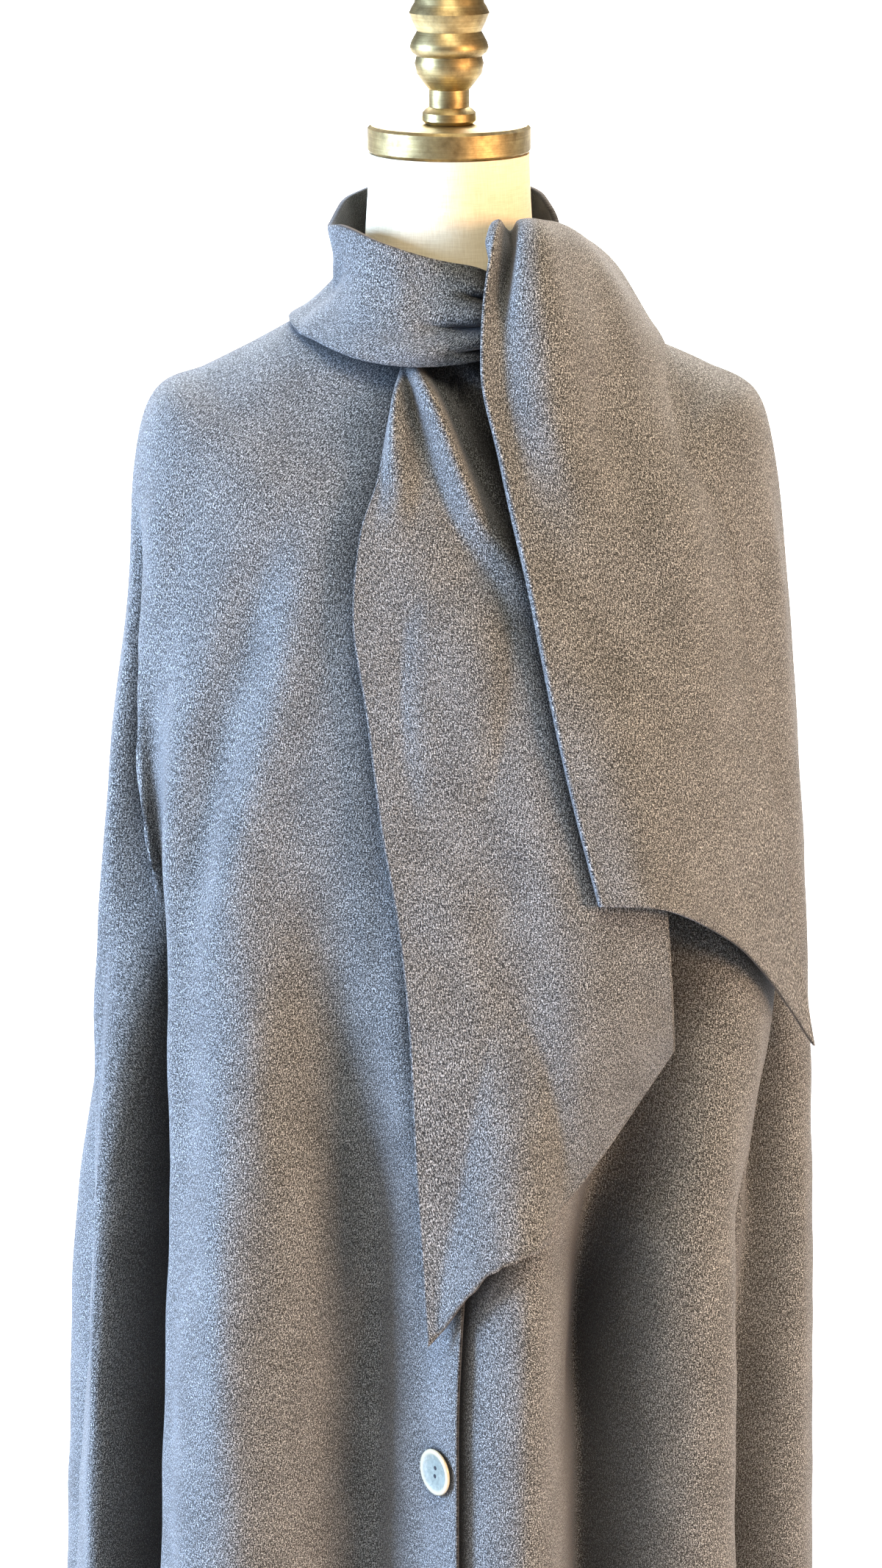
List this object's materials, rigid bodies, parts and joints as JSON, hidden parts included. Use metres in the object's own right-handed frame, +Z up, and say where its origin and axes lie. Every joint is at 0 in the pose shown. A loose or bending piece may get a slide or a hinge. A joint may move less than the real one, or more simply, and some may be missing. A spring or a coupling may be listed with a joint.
{
  "type": "wool cape coat with a tied scarf collar on a limbless dress form",
  "caption": "Sleeveless cape coat in grey wool flannel, buttoned down the front, its long scarf collar wound round the neck and looped over the shoulder, worn on a dress form with a brass neck cap.",
  "frame": {"origin": "centre of the underside of the stand's foot", "axes": "+Z up, the front of the coat towards -Y, the wearer's left towards +X"},
  "size_m": [0.6019, 0.5241, 1.6825],
  "materials": {
    "grey_wool": "melange wool flannel, matt with short fibres",
    "grey_horn": "polished grey-green horn or shell",
    "cream_linen": "plain woven cream cover, matt",
    "antique_brass": "brushed, darkened with age"
  },
  "bodies": {
    "root": {"front_right": "grey_wool", "front_left": "grey_wool", "back": "grey_wool", "scarf_wrap": "grey_wool", "scarf_end_over": "grey_wool", "scarf_end_under": "grey_wool", "button_1": "grey_horn", "button_2": "grey_horn", "button_3": "grey_horn", "button_4": "grey_horn", "button_5": "grey_horn", "form_body": "cream_linen", "neck_cap": "antique_brass", "finial": "antique_brass", "pole": "antique_brass", "foot": "antique_brass"}
  },
  "joints": []
}
